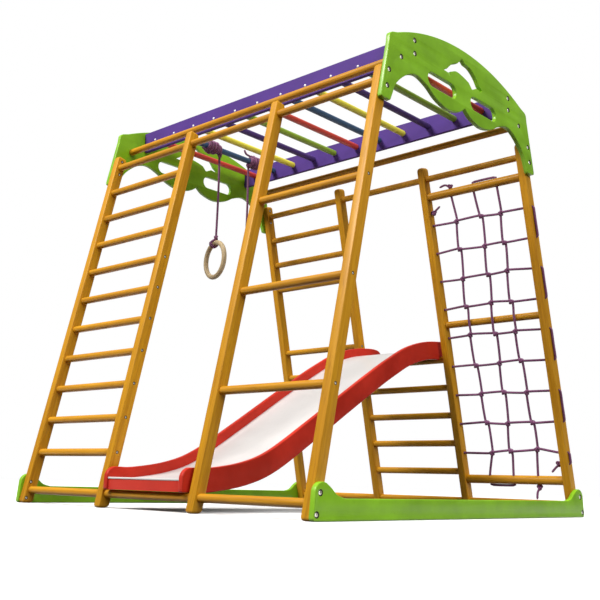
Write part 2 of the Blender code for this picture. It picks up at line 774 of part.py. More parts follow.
def make_hitch(name, rope):
    """The turns of rope that are tied round the monkey bar, as one sleeve."""
    made = bmesh.new()
    sides = ROUND_SIDES
    profile = [
        (BAR_R + 2 * FIT, -HITCH_LENGTH / 2),
        (HITCH_R - 0.004, -HITCH_LENGTH / 2),
        (HITCH_R, -HITCH_LENGTH / 2 + 0.005),
        (HITCH_R, HITCH_LENGTH / 2 - 0.005),
        (HITCH_R - 0.004, HITCH_LENGTH / 2),
        (BAR_R + 2 * FIT, HITCH_LENGTH / 2),
    ]
    loops = []
    for i in range(sides):
        angle = math.tau * (i + 0.5) / sides
        loops.append([made.verts.new((r * math.cos(angle), y, r * math.sin(angle))) for r, y in profile])
    for i in range(sides):
        a, b = loops[i], loops[(i + 1) % sides]
        for k in range(len(profile)):
            j = (k + 1) % len(profile)
            made.faces.new((a[k], b[k], b[j], a[j]))
    place(name, made, "rope", parent=rope, smooth=40)


def make_rings():
    for i, (y, turn) in enumerate(zip(RING_Y, RING_TURN), start=1):
        rope = make_rope(f"ring_rope_{i}", ring_rope_points())
        rope.location = (BAR_X[RING_BAR], y, SIDE_BOARD_Z)
        make_hitch(f"ring_hitch_{i}", rope)
        make_ring(f"ring_{i}", rope, turn)


make_walls()
make_net()
make_plates()
make_monkey_bars()
make_slide()
make_rings()
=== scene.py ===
"""An indoor wooden climbing frame with a slide, a climbing net and rings, on a pale studio floor.

Metres, +Z up, in the CAD model's frame: X along the frame, -Y is the front.
"""

import math

import bmesh
import bpy
from mathutils import Matrix, Vector


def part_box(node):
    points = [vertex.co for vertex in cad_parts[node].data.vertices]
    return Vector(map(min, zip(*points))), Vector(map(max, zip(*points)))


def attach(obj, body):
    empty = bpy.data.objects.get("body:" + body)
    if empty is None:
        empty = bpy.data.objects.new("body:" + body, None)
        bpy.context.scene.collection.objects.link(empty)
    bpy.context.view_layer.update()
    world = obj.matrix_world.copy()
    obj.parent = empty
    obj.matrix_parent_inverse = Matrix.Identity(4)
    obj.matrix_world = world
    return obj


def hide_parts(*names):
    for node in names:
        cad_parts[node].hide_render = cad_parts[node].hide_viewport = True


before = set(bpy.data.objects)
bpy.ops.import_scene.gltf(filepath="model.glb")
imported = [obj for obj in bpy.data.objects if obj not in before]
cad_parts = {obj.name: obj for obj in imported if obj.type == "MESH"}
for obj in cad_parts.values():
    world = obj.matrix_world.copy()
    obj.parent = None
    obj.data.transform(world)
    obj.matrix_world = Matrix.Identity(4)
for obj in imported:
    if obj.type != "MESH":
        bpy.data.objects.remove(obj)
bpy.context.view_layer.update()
scene = bpy.context.scene

# -------------------------------------------- the frame's dimensions
LEAN = math.radians(12.62)
TAN = math.tan(LEAN)
POST_FOOT_Y = 0.7985
POST_TOP_Z = 1.477
POST_WIDTH = 0.032
POST_DEPTH = 0.042
POSTS_X = (-0.7157, -0.23857, 0.23857, 0.7157)
BOARD = 0.018
HALF_LENGTH = 0.750
HALF_DEPTH = 0.822
TOP_Z = 1.700
POST_EDGE = 0.0028
RUNG_R = 0.014
HOOK_Z = 0.644
HOOK_PITCH = 0.1185
ROPE_R = 0.005
TAIL_R = ROPE_R * 0.95
BAR_Z = 1.592
BAR_R = 0.013
BAR_X = [-0.657 + 0.129 * i for i in range(11)]
LADDER_PITCH = 0.12355
LADDER_Z = [0.1885 + LADDER_PITCH * i for i in range(10)]
TOP_RAIL_Z = 1.424
BACK_STEP_Z = (0.738, 0.615)
WIDE_Z = (0.386, 0.728, 1.068)
NET_X = (0.36665, 0.47715, 0.58765)
NET_ROW_Z = [1.220 - 0.1215 * i for i in range(9)]
NET_RUNG_Z = (1.345, 0.139)
NET_RUNG_R = 0.018
NET_MIDDLE_Z = 0.790
NET_MIDDLE_R = 0.015
NET_HOLE_R = 0.0065
NET_ENDS_Z = (1.275, 0.205)
NET_DRIFT = ((0.008, 0.009, 0.024), (0.017, 0.017, 0.001), (0.000, 0.000, 0.012))
NET_BOW = 0.022
RING_X = BAR_X[1]
RING_Y = (-0.052, 0.137)
RING_TOP_Z = 1.158
RING_R = 0.079
RING_ROD_R = 0.011
RING_TURN = (math.radians(-12.0), math.radians(-42.0))
SIDES = (-1, 1)
SHARP_ANGLE = 35


def wall_y(side, z):
    """The middle of a wall at height z; side is -1 at the front and 1 at the back."""
    return side * (POST_FOOT_Y - TAN * z)


# -------------------------------------------- camera and light
SKY_ABOVE = 0.32
SKY_BELOW = 0.03
SKY_FADE = (-0.15, 0.55)


def make_camera():
    eye = (2.4259, -2.7579, 0.1024)
    yaw, pitch, roll = -0.7624, 0.2339, 0.0284
    level = Vector((math.cos(yaw), -math.sin(yaw), 0.0))
    inward = Vector((math.sin(yaw), math.cos(yaw), 0.0))
    ahead = math.cos(pitch) * inward + Vector((0.0, 0.0, math.sin(pitch)))
    above = level.cross(ahead)
    right = math.cos(roll) * level + math.sin(roll) * above
    up = math.cos(roll) * above - math.sin(roll) * level
    data = bpy.data.cameras.new("camera")
    data.lens = 54.72
    data.sensor_width = 36.0
    data.shift_x = 0.0431
    data.shift_y = -0.0592
    camera = bpy.data.objects.new("camera", data)
    turn = Matrix((right, up, -ahead)).transposed()
    camera.matrix_world = Matrix.Translation(eye) @ turn.to_4x4()
    scene.collection.objects.link(camera)
    scene.camera = camera


def area_light(name, at, size, watts, colour=(1.0, 1.0, 1.0)):
    """A round soft light that looks at the middle of the frame."""
    data = bpy.data.lights.new(name, "AREA")
    data.shape = "DISK"
    data.size = size
    data.energy = watts
    data.color = colour
    lamp = bpy.data.objects.new(name, data)
    middle = Vector((0, 0, 0.7))
    turn = (middle - Vector(at)).to_track_quat("-Z", "Y")
    lamp.matrix_world = Matrix.Translation(at) @ turn.to_matrix().to_4x4()
    scene.collection.objects.link(lamp)


def make_studio():
    """White to look at; as a light, soft from above and dim from below."""
    world = bpy.data.worlds.new("studio")
    scene.world = world
    world.use_nodes = True
    tree = world.node_tree
    sky = tree.nodes["Background"]
    coords = tree.nodes.new("ShaderNodeTexCoord")
    parts = tree.nodes.new("ShaderNodeSeparateXYZ")
    fade = tree.nodes.new("ShaderNodeMapRange")
    fade.interpolation_type = "SMOOTHSTEP"
    for socket, value in zip(fade.inputs[1:5], (*SKY_FADE, SKY_BELOW, SKY_ABOVE)):
        socket.default_value = value
    seen = tree.nodes.new("ShaderNodeLightPath")
    pick = tree.nodes.new("ShaderNodeMix")
    pick.inputs["B"].default_value = 1.0
    tree.links.new(coords.outputs["Generated"], parts.inputs[0])
    tree.links.new(parts.outputs["Z"], fade.inputs["Value"])
    tree.links.new(seen.outputs["Is Camera Ray"], pick.inputs["Factor"])
    tree.links.new(fade.outputs["Result"], pick.inputs["A"])
    tree.links.new(pick.outputs["Result"], sky.inputs["Strength"])
    sky.inputs["Color"].default_value = (1.0, 1.0, 1.0, 1.0)
    scene.view_settings.view_transform = "Standard"
    area_light("key", (-3.0, -7.0, 7.4), 3.2, 1120, (1.0, 0.98, 0.95))
    area_light("fill", (7.6, -2.5, 3.9), 4.1, 352)
    data = bpy.data.lights.new("overhead", "SUN")
    data.energy = 2.65
    data.angle = math.radians(50)
    lamp = bpy.data.objects.new("overhead", data)
    lamp.visible_glossy = False
    lamp.rotation_euler = (math.radians(-14), math.radians(6), 0)
    scene.collection.objects.link(lamp)


# -------------------------------------------- materials
class Nodes:
    """Adds and links shader nodes in one material."""

    FURTHEST = 37.0  # the most that a piece's texture is moved

    def __init__(self, name):
        self.material = bpy.data.materials.new(name)
        self.material.use_nodes = True
        self.tree = self.material.node_tree
        self.shader = self.tree.nodes["Principled BSDF"]

    def put(self, socket, value):
        if isinstance(value, bpy.types.NodeSocket):
            self.tree.links.new(value, socket)
        else:
            socket.default_value = value

    def add(self, kind, inputs=None, **settings):
        node = self.tree.nodes.new(kind)
        for name, value in settings.items():
            setattr(node, name, value)
        for key, value in (inputs or {}).items():
            self.put(node.inputs[key], value)
        return node

    def math(self, operation, a, b=0.0):
        return self.add("ShaderNodeMath", {0: a, 1: b}, operation=operation).outputs[0]

    def noise(self, vector, scale, detail, roughness=0.55, distortion=0.0):
        names = ("Vector", "Scale", "Detail", "Roughness", "Distortion")
        values = (vector, scale, detail, roughness, distortion)
        return self.add("ShaderNodeTexNoise", dict(zip(names, values))).outputs["Fac"]

    def remap(self, value, low, high, to_low=0.0, to_high=1.0):
        names = ("Value", "From Min", "From Max", "To Min", "To Max")
        values = (value, low, high, to_low, to_high)
        return self.add("ShaderNodeMapRange", dict(zip(names, values))).outputs["Result"]

    def mix(self, share, a, b):
        node = self.add("ShaderNodeMix", data_type="RGBA")
        self.put(node.inputs["Factor"], share)
        for socket, value in ((node.inputs[6], a), (node.inputs[7], b)):
            self.put(socket, value if isinstance(value, bpy.types.NodeSocket) else (*value, 1.0))
        return node.outputs[2]

    def place(self, source="Object", scale=(1, 1, 1)):
        """Texture coordinates, stretched, and moved by a different amount on each object."""
        if source == "straight":
            coords = self.add("ShaderNodeAttribute", attribute_name=source).outputs["Vector"]
        else:
            coords = self.add("ShaderNodeTexCoord").outputs[source]
        chance = self.add("ShaderNodeObjectInfo").outputs["Random"]
        inputs = {"Vector": coords, "Scale": scale}
        mapped = self.add("ShaderNodeMapping", inputs).outputs["Vector"]
        inputs = {0: mapped, 1: self.math("MULTIPLY", chance, self.FURTHEST)}
        return self.add("ShaderNodeVectorMath", inputs, operation="ADD").outputs["Vector"]

    def bump(self, height, distance, strength, under=None):
        inputs = {"Height": height, "Distance": distance, "Strength": strength}
        if under is not None:
            inputs["Normal"] = under
        return self.add("ShaderNodeBump", inputs).outputs["Normal"]

    def finish(self, colour, roughness, normal, **fixed):
        self.put(self.shader.inputs["Base Color"], colour)
        self.put(self.shader.inputs["Roughness"], roughness)
        self.put(self.shader.inputs["Normal"], normal)
        for name, value in fixed.items():
            self.shader.inputs[name.replace("_", " ")].default_value = value
        return self.material


def shade(colour, factor, lift=0.0):
    """A colour made lighter or darker, up to white."""
    return tuple(min(1.0, c * factor + lift) for c in colour)


def wood(name, light, dark, source="Object", along=(1, 1, 0.05), scale=75.0, coat=0.06):
    """Stained or bare wood whose grain runs along the piece, with pores and broad changes."""
    n = Nodes(name)
    grain_at = n.place(source, along)
    grain = n.noise(grain_at, scale, 5.0, 0.62, 0.5)
    pores = n.noise(grain_at, scale * 5, 2.0, 0.5)
    broad = n.noise(n.place(source, (along[0], along[1], along[2] * 3)), 9.0, 2.0)
    colour = n.mix(n.remap(grain, 0.36, 0.66), dark, light)
    colour = n.mix(n.remap(broad, 0.35, 0.7, 0.0, 0.35), colour, shade(light, 1.22))
    colour = n.mix(n.remap(pores, 0.58, 0.75, 0.0, 0.45), colour, shade(dark, 0.55))
    rough = n.remap(grain, 0.3, 0.7, 0.50, 0.36)
    height = n.math("ADD", grain, n.math("MULTIPLY", pores, 0.5))
    normal = n.bump(height, 0.0004, 0.5)
    fixed = {"Coat_Weight": coat, "Coat_Roughness": 0.22, "Specular_IOR_Level": 0.18}
    return n.finish(colour, rough, normal, **fixed)


def paint(name, colour, roughness=0.4, coat=0.15, specular=0.25, spread=0.16):
    """Brushed paint on wood, with a little grain through it and its edges made lighter."""
    n = Nodes(name)
    peel = n.noise(n.place(), 420.0, 2.0)
    grain = n.noise(n.place(scale=(1, 1, 0.15)), 70.0, 4.0, 0.6)
    broad = n.noise(n.place(), 7.0, 3.0)
    deep, bright = shade(colour, 1.0 - spread), shade(colour, 1.0 + spread, 0.004)
    tone = n.mix(n.remap(broad, 0.3, 0.7), deep, bright)
    tone = n.mix(n.remap(grain, 0.55, 0.75, 0.0, 0.25), tone, shade(colour, 0.7))
    # Lighter where the mesh is pointed, along the rounded edges.
    edge_lightening = n.remap(n.add("ShaderNodeNewGeometry").outputs["Pointiness"], 0.515, 0.56, 0.0, 0.35)
    tone = n.mix(edge_lightening, tone, shade(colour, 1.35, 0.03))
    rough = n.remap(broad, 0.3, 0.7, roughness - 0.05, roughness + 0.07)
    normal = n.bump(peel, 0.00012, 0.5, n.bump(grain, 0.0003, 0.4))
    fixed = {"Coat_Weight": coat, "Coat_Roughness": 0.18, "Specular_IOR_Level": specular}
    return n.finish(tone, rough, normal, **fixed)


def rope_look(name, colour, light):
    """A braided cord: diagonal strands that cross, from the tube's own metric coordinates."""
    around, pitch, strands = 0.0314, 0.011, 3
    n = Nodes(name)
    coords = n.add("ShaderNodeTexCoord").outputs["UV"]
    parts = n.add("ShaderNodeSeparateXYZ", {"Vector": coords})
    turns = n.math("MULTIPLY", parts.outputs["X"], math.tau * strands / around)
    length = n.math("MULTIPLY", parts.outputs["Y"], math.tau / pitch)
    one = n.math("SINE", n.math("ADD", turns, length))
    two = n.math("SINE", n.math("SUBTRACT", turns, length))
    cells = n.math("MULTIPLY", one, two)
    fuzz = n.noise(coords, 2600.0, 2.0)
    broad = n.noise(n.place(), 24.0, 2.0)
    # The strands' raised crests are coloured lighter and the grooves between them darker: painted
    # highlight and painted shade.
    tone = n.mix(n.remap(cells, -0.6, 0.8), colour, light)
    tone = n.mix(n.remap(fuzz, 0.5, 0.75, 0.0, 0.4), tone, shade(colour, 0.5))
    tone = n.mix(n.remap(broad, 0.35, 0.7, 0.0, 0.3), tone, shade(light, 1.3))
    height = n.math("ADD", cells, n.math("MULTIPLY", fuzz, 0.6))
    normal = n.bump(height, 0.0007, 0.8)
    fixed = {"Sheen_Weight": 0.25, "Sheen_Roughness": 0.5}
    return n.finish(tone, n.remap(fuzz, 0.3, 0.7, 0.7, 0.9), normal, **fixed)


def metal_look(name, colour, roughness):
    n = Nodes(name)
    marks = n.noise(n.place(), 900.0, 3.0)
    tone = n.mix(n.remap(marks, 0.35, 0.7), shade(colour, 0.8), colour)
    rough = n.remap(marks, 0.3, 0.7, roughness - 0.06, roughness + 0.1)
    return n.finish(tone, rough, n.bump(marks, 0.00008, 0.4), Metallic=1.0)


def floor_look():
    """A white floor with a faint blurred reflection, the same at every angle."""
    n = Nodes("floor")
    specks = n.noise(n.place(), 2.0, 3.0)
    tone = n.mix(specks, (0.93, 0.93, 0.93), (0.96, 0.96, 0.96))
    rough = n.remap(specks, 0.3, 0.7, 0.20, 0.24)
    gloss = n.add("ShaderNodeBsdfGlossy", {"Roughness": rough})
    blend = n.add("ShaderNodeMixShader", {"Fac": 0.08})
    out = n.tree.nodes["Material Output"]
    n.finish(tone, 0.9, n.bump(specks, 0.0001, 0.1), Specular_IOR_Level=0.0)
    n.tree.links.new(n.shader.outputs[0], blend.inputs[1])
    n.tree.links.new(gloss.outputs[0], blend.inputs[2])
    n.tree.links.new(blend.outputs[0], out.inputs["Surface"])
    return n.material


LOOKS = {
    "wood": wood("orange_wood", (0.60, 0.284, 0.012), (0.42, 0.175, 0.006)),
    "post": wood("post_wood", (0.63, 0.303, 0.012), (0.46, 0.196, 0.006), "straight"),
    "ring": wood(
        "bare_wood", (0.62, 0.49, 0.30), (0.46, 0.34, 0.19), "UV", (1, 0.06, 1), 180.0, 0.05
    ),
    "green": paint("green_paint", (0.225, 0.48, 0.010)),
    "bar_green": paint("green_bar_paint", (0.22, 0.36, 0.018), 0.38),
    "purple": paint("purple_paint", (0.076, 0.032, 0.220), 0.55, 0.0, 0.06),
    "bar_purple": paint("purple_bar_paint", (0.060, 0.026, 0.14), 0.5, 0.05, 0.12),
    "red": paint("red_paint", (0.52, 0.025, 0.011), 0.42, 0.06, 0.14),
    "bar_red": paint("red_bar_paint", (0.55, 0.045, 0.022), 0.38),
    "blue": paint("blue_bar_paint", (0.030, 0.070, 0.15), 0.42, 0.10, 0.15),
    "yellow": paint("yellow_bar_paint", (0.96, 0.76, 0.06), 0.38),
    "white": paint("white_board", (0.555, 0.54, 0.53), 0.36, 0.10, spread=0.045),
    "cap": paint("white_cap", (0.80, 0.80, 0.80), 0.3, 0.2),
    # The second colour is the painted highlight on the strands' crests; the grooves take the first,
    # darker colour as painted shade.
    "rope": rope_look("plum_rope", (0.100, 0.020, 0.075), (0.26, 0.080, 0.20)),
    "steel": metal_look("screw_steel", (0.62, 0.60, 0.55), 0.30),
    # Near-black metal for the liners in the screw holes and the discs under the screws: painted
    # shade.
    "painted_shade": metal_look("screw_painted_shade_look", (0.05, 0.04, 0.025), 0.6),
}


# -------------------------------------------- mesh helpers
def finish_piece(name, mesh_data, look, body, at=None, nodes=(), smooth=SHARP_ANGLE):
    """Turns a bmesh into a piece that rides on a body and stands for its CAD nodes."""
    bmesh.ops.recalc_face_normals(mesh_data, faces=mesh_data.faces)
    mesh = bpy.data.meshes.new(name)
    mesh_data.to_mesh(mesh)
    mesh_data.free()
    mesh.shade_smooth()
    mesh.set_sharp_from_angle(angle=math.radians(smooth))
    mesh.materials.append(LOOKS[look])
    piece = bpy.data.objects.new(name, mesh)
    if at is not None:
        piece.matrix_world = at
    scene.collection.objects.link(piece)
    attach(piece, body)
    if nodes:
        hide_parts(*nodes)
    return piece


def finish_rope(name, mesh_data, body, nodes=()):
    return finish_piece(name, mesh_data, "rope", body, nodes=nodes, smooth=60)


def add_band(mesh_data, a, b, u_step, v0, v1):
    """Joins two rings of vertices with faces, and stores metric coordinates as UVs."""
    uv = mesh_data.loops.layers.uv.verify()
    for i in range(len(a)):
        j = (i + 1) % len(a)
        face = mesh_data.faces.new((a[i], a[j], b[j], b[i]))
        u0, u1 = i * u_step, (i + 1) * u_step
        for loop, at in zip(face.loops, ((u0, v0), (u1, v0), (u1, v1), (u0, v1))):
            loop[uv].uv = at


def skin(mesh_data, rings, lengths=None, around=0.0, open_start=False):
    """Skins a row of closed rings and caps its ends; lengths and around give the UVs."""
    loops = [[mesh_data.verts.new(p) for p in ring] for ring in rings]
    lengths = lengths or [0.0] * len(loops)
    for a, b, v0, v1 in zip(loops, loops[1:], lengths, lengths[1:]):
        add_band(mesh_data, a, b, around / len(a), v0, v1)
    if not open_start:
        mesh_data.faces.new(reversed(loops[0]))
    mesh_data.faces.new(loops[-1])


def circle(radius, count, z):
    """Points on a circle about the Z axis."""
    made = []
    for i in range(count):
        angle = math.tau * (i + 0.5) / count
        made.append(Vector((radius * math.cos(angle), radius * math.sin(angle), z)))
    return made


def add_turned(mesh_data, at, profile, count=24):
    """A shape turned about the Z of at, from pairs of radius and height."""
    skin(mesh_data, [[at @ p for p in circle(r, count, z)] for r, z in profile])


def along(start, end):
    """A frame at start whose Z runs towards end."""
    start, end = Vector(start), Vector(end)
    turn = (end - start).to_track_quat("Z", "Y")
    return Matrix.Translation(start) @ turn.to_matrix().to_4x4()


def rod(name, start, end, radius, look, nodes=()):
    """A round rod of the fixed frame, with eased ends."""
    ease, count = 0.0015, 32
    length = (Vector(end) - Vector(start)).length
    steps = ((0.0, radius - ease), (ease, radius), (length - ease, radius), (length, radius - ease))
    made = bmesh.new()
    skin(made, [circle(r, count, z) for z, r in steps])
    return finish_piece(name, made, look, "frame", along(start, end), nodes)


def rod_for(node, axis, radius, look):
    """A round rod in the place of a straight CAD rod that runs along X (0) or Y (1)."""
    low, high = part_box(node)
    start = (low + high) / 2
    end = start.copy()
    start[axis], end[axis] = low[axis], high[axis]
    rod(f"{node}_turned", start, end, radius, look, [node])


def smooth_path(knots, step):
    """A Catmull-Rom curve through the knots, with about one point every step."""
    knots = [Vector(k) for k in knots]
    ends = [2 * knots[0] - knots[1], *knots, 2 * knots[-1] - knots[-2]]
    made = []
    for a, b, c, d in zip(ends, ends[1:], ends[2:], ends[3:]):
        count = max(1, round((c - b).length / step))
        for i in range(count):
            t = i / count
            square = (2 * a - 5 * b + 4 * c - d) * t**2
            cube = (3 * b - a - 3 * c + d) * t**3
            made.append((2 * b + (c - a) * t + square + cube) / 2)
    return made + [knots[-1]]


def add_tube(mesh_data, points, radius, count=12, ends=0.6):
    """A tube along the points, with rounded ends and metric UVs."""
    heads = [(b - a).normalized() for a, b in zip(points, points[1:])]
    up = heads[0].orthogonal().normalized()
    rings, lengths, run = [], [], 0.0
    last = len(points) - 1
    for i, point in enumerate(points):
        head = (heads[max(i - 1, 0)] + heads[min(i, last - 1)]).normalized()
        up = (up - head * up.dot(head)).normalized()
        side = head.cross(up)
        if i:
            run += (point - points[i - 1]).length
        r = radius * (ends if i in (0, last) else 1.0)
        ring = []
        for k in range(count):
            angle = math.tau * k / count
            ring.append(point + r * (math.cos(angle) * up + math.sin(angle) * side))
        rings.append(ring)
        lengths.append(run)
    skin(mesh_data, rings, lengths, math.tau * radius)


def add_knot(mesh_data, middle, size, radius, turn):
    """A tight knot: a trefoil of rope, as wide as size each way from its middle."""
    thick, steps = 1.04, 30
    s = size / 3
    points = []
    for i in range(steps + 1):
        t = math.tau * i / steps
        x = math.sin(t) + 2 * math.sin(2 * t)
        y = math.cos(t) - 2 * math.cos(2 * t)
        z = -math.sin(3 * t) * thick
        points.append(Vector(middle) + turn @ Vector((x * s, z * s, y * s)))
    add_tube(mesh_data, points, radius, 8, 1.0)


def board(name, outlines, x0, x1, look, body, node, edge):
    """A board cut to outlines in the YZ plane, from x0 to x1, with rounded edges."""
    curve = bpy.data.curves.new(name, "CURVE")
    curve.dimensions = "2D"
    curve.fill_mode = "BOTH"
    curve.extrude = (x1 - x0) / 2 - edge
    curve.bevel_depth = edge
    curve.bevel_resolution = 3
    curve.offset = -edge
    for outline in outlines:
        spline = curve.splines.new("POLY")
        spline.points.add(len(outline) - 1)
        for point, (y, z) in zip(spline.points, outline):
            point.co = (y, z, 0.0, 1.0)
        spline.use_cyclic_u = True
    shape = bpy.data.objects.new(name + "_outline", curve)
    scene.collection.objects.link(shape)
    graph = bpy.context.evaluated_depsgraph_get()
    mesh = bpy.data.meshes.new_from_object(shape.evaluated_get(graph))
    bpy.data.objects.remove(shape)
    mesh.name = name
    made = bmesh.new()
    made.from_mesh(mesh)
    bmesh.ops.remove_doubles(made, verts=made.verts, dist=1e-6)
    bpy.data.meshes.remove(mesh)
    turn = Matrix(((0, 0, 1), (1, 0, 0), (0, 1, 0))).to_4x4()
    at = Matrix.Translation(((x0 + x1) / 2, 0, 0)) @ turn
    finish_piece(name, made, look, body, at, [node], smooth=30)


def slab(name, node, look, body, edge):
    """A plain board in the place of a CAD board."""
    low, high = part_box(node)
    outline = [(low.y, low.z), (high.y, low.z), (high.y, high.z), (low.y, high.z)]
    board(name, [outline], low.x, high.x, look, body, node, edge)


def arc(centre, radius, start, end, steps):
    """Pairs along an arc, from one angle in degrees to another."""
    made = []
    for i in range(steps + 1):
        angle = math.radians(start + (end - start) * i / steps)
        made.append((centre[0] + radius * math.cos(angle), centre[1] + radius * math.sin(angle)))
    return made


def flat_path(knots, step):
    """A smooth curve through points given as pairs."""
    return [(p.x, p.y) for p in smooth_path([(*k, 0.0) for k in knots], step)]


def mirrored(half):
    """A closed outline from its half on the +Y side, whose two ends lie on Y = 0."""
    return half + [(-y, z) for y, z in half[-2:0:-1]]


# -------------------------------------------- rings' ropes
def ring_rope_path(y):
    """A hanging rope, from under its hitch to its knot on the ring."""
    top, bottom = BAR_Z - 0.0243, RING_TOP_Z + 0.0003
    bow, count = 0.003, 40
    made = []
    for i in range(count + 1):
        share = i / count
        x = RING_X + bow * math.sin(math.pi * share)
        made.append(Vector((x, y, top + (bottom - top) * share)))
    return made


# For each ring: which way along the bar the hitch runs, its turns, the run of its second layer and
# the place of its loose knot; then the steps of its tail from there.
HITCHES = (
    (-1, 8, 0.058, (0.004, -0.072, -0.0250)),
    (1, 6, 0.040, (-0.006, 0.030, 0.026)),
)
TAILS = (
    ((0.0, 0.0, -0.002), (0.0, -0.016, -0.004), (0.002, -0.030, 0.002), (0.002, -0.042, 0.004)),
    ((0.0, 0.0, 0.002), (0.004, -0.022, 0.002), (0.002, -0.044, 0.008), (0.002, -0.056, 0.024)),
)


def make_hitch(number, y):
    """The rope's turns round the bar in two layers, the loose knot and its tail."""
    way, turns, back_run, loose = HITCHES[number - 1]
    first = BAR_R + ROPE_R
    second = first + 2 * ROPE_R - 0.0015
    pitch, steps, back_steps, climb = 0.0102, 20, 70, 7

    def wound(i, r, at_y):
        angle = -math.pi / 2 + math.tau * i / steps
        return (RING_X + r * math.cos(angle), at_y, BAR_Z + r * math.sin(angle))

    run = range(turns * steps + 1)
    points = [wound(i, first, y + way * pitch * (i / steps + 0.4)) for i in run]
    far = points[-1][1]
    for i in range(1, back_steps + 1):
        r = first + (second - first) * min(1.0, i / climb)
        points.append(wound(i, r, far - way * back_run * i / back_steps))
    made = bmesh.new()
    add_tube(made, smooth_path(points, 0.006), ROPE_R)
    turn = Matrix.Rotation(0.5, 3, "Z")
    add_knot(made, (RING_X + 0.002, y, BAR_Z - 0.024), 0.0100, 0.0045, turn)
    knot = Vector((RING_X + loose[0], y + loose[1], BAR_Z + loose[2]))
    add_knot(made, knot, 0.0110, 0.0046, turn)
    tail = [knot + Vector(step) for step in TAILS[number - 1]]
    add_tube(made, smooth_path(tail, 0.005), TAIL_R)
    return finish_rope(f"hitch_{number}", made, f"ring_rope_{number}", [f"ring_hitch_{number}"])


def make_ring_rope(number, y, turn):
    """The hanging rope with its hitch on the bar and its knot over the ring."""
    body = f"ring_rope_{number}"
    path = ring_rope_path(y)
    made = bmesh.new()
    add_tube(made, path, ROPE_R, 12, 1.0)
    rope = finish_rope(f"rope_{number}", made, body, [body])
    hitch = make_hitch(number, y)
    made = bmesh.new()
    facing = Matrix.Rotation(turn, 3, "Z")
    add_knot(made, (RING_X, y, RING_TOP_Z + 0.012), 0.0105, 0.0046, facing)
    knot = finish_rope(f"ring_knot_{number}", made, body)


def make_ring(number, y, turn):
    """A ring, turned about the upright, with the rope that holds it."""
    middle = Vector((RING_X, y, RING_TOP_Z - RING_ROD_R - RING_R))
    across = Vector((math.cos(turn), math.sin(turn), 0))
    out = Vector((-math.sin(turn), math.cos(turn), 0))
    made = bmesh.new()
    around, count = 96, 24
    u_step, v_step = 0.0029, 0.0052
    loops = []
    for i in range(around):
        angle = math.tau * i / around
        spoke = across * math.sin(angle) + Vector((0, 0, math.cos(angle)))
        loop = []
        for k in range(count):
            small = math.tau * k / count
            r = RING_R + RING_ROD_R * math.cos(small)
            loop.append(made.verts.new(spoke * r + out * RING_ROD_R * math.sin(small)))
        loops.append(loop)
    for i in range(around):
        following = loops[(i + 1) % around]
        add_band(made, loops[i], following, u_step, i * v_step, (i + 1) * v_step)
    body = f"ring_{number}"
    at = Matrix.Translation(middle)
    finish_piece(f"{body}_turned", made, "ring", body, at, [body], smooth=60)
    make_lashing(body, middle, across, out)


def make_lashing(body, middle, across, out):
    """Two turns of rope round the top of a ring."""
    made = bmesh.new()
    points = []
    count, steps, start, pitch = 45, 20, -0.026, 0.0100
    r = RING_ROD_R + ROPE_R - 0.0005
    for i in range(count):
        angle = math.pi / 2 + math.tau * i / steps
        lean = (start + pitch * i / steps) / RING_R
        spoke = across * math.sin(lean) + Vector((0, 0, math.cos(lean)))
        spot = middle + spoke * (RING_R + r * math.sin(angle)) + out * r * math.cos(angle)
        points.append(spot)
    add_tube(made, points, TAIL_R)
    finish_rope(f"{body}_lashing", made, body)


def make_rings():
    for number, (y, turn) in enumerate(zip(RING_Y, RING_TURN), start=1):
        make_ring_rope(number, y, turn)
        make_ring(number, y, turn)


# -------------------------------------------- posts and rungs
def corner_ring(half_x, half_y, radius):
    """A rectangle with rounded corners."""
    made = []
    centres = ((1, 1, 0), (-1, 1, 90), (-1, -1, 180), (1, -1, 270))
    for sx, sy, start in centres:
        centre = (sx * (half_x - radius), sy * (half_y - radius))
        made += arc(centre, radius, start, start + 90, 4)
    return made


# Height along the post from its end, and how far its sides are drawn in there.
FOOT_EASE = ((0.0, 0.0095), (0.0010, 0.0060), (0.0035, 0.0028), (0.0070, 0.0008), (0.0110, 0.0))
TOP_EASE = ((-0.014, 0.0), (-0.008, 0.0012), (-0.004, 0.0034), (-0.0012, 0.0068), (0.0, 0.0108))


def make_post(node, side, number, holes=()):
    """A post with rounded edges and top, its foot cut level with the floor and eased."""
    length = POST_TOP_Z / math.cos(LEAN)
    x = POSTS_X[number]
    rings = []
    for at_foot, ease in ((True, FOOT_EASE), (False, TOP_EASE)):
        for w, inset in ease:
            half_x, half_y = POST_WIDTH / 2 - inset, POST_DEPTH / 2 - inset
            ring = []
            for u, v in corner_ring(half_x, half_y, POST_EDGE - inset * 0.1):
                ring.append(Vector((u, v, w + (-v * side * TAN if at_foot else length))))
            rings.append(ring)
    made = bmesh.new()
    skin(made, rings)
    tilt = Matrix.Rotation(side * LEAN, 3, "X")
    at = Matrix.Translation((x, side * POST_FOOT_Y, 0)) @ tilt.to_4x4()
    post = finish_piece(f"{node}_shaped", made, "post", "frame", at, [node])
    if holes:
        reach = 0.03
        lines = [[(x + way * reach, wall_y(side, z), z) for way in SIDES] for z in holes]
        cut_holes(post, lines)
    apply_lean(post)


def apply_lean(piece):
    """Applies a leaning piece's turn to its mesh; the straight coordinates stay for the grain."""
    bpy.context.view_layer.update()
    mesh = piece.data
    straight = mesh.attributes.new("straight", "FLOAT_VECTOR", "POINT")
    straight.data.foreach_set("vector", [c for v in mesh.vertices for c in v.co])
    mesh.transform(piece.matrix_world)
    piece.matrix_world = Matrix.Identity(4)


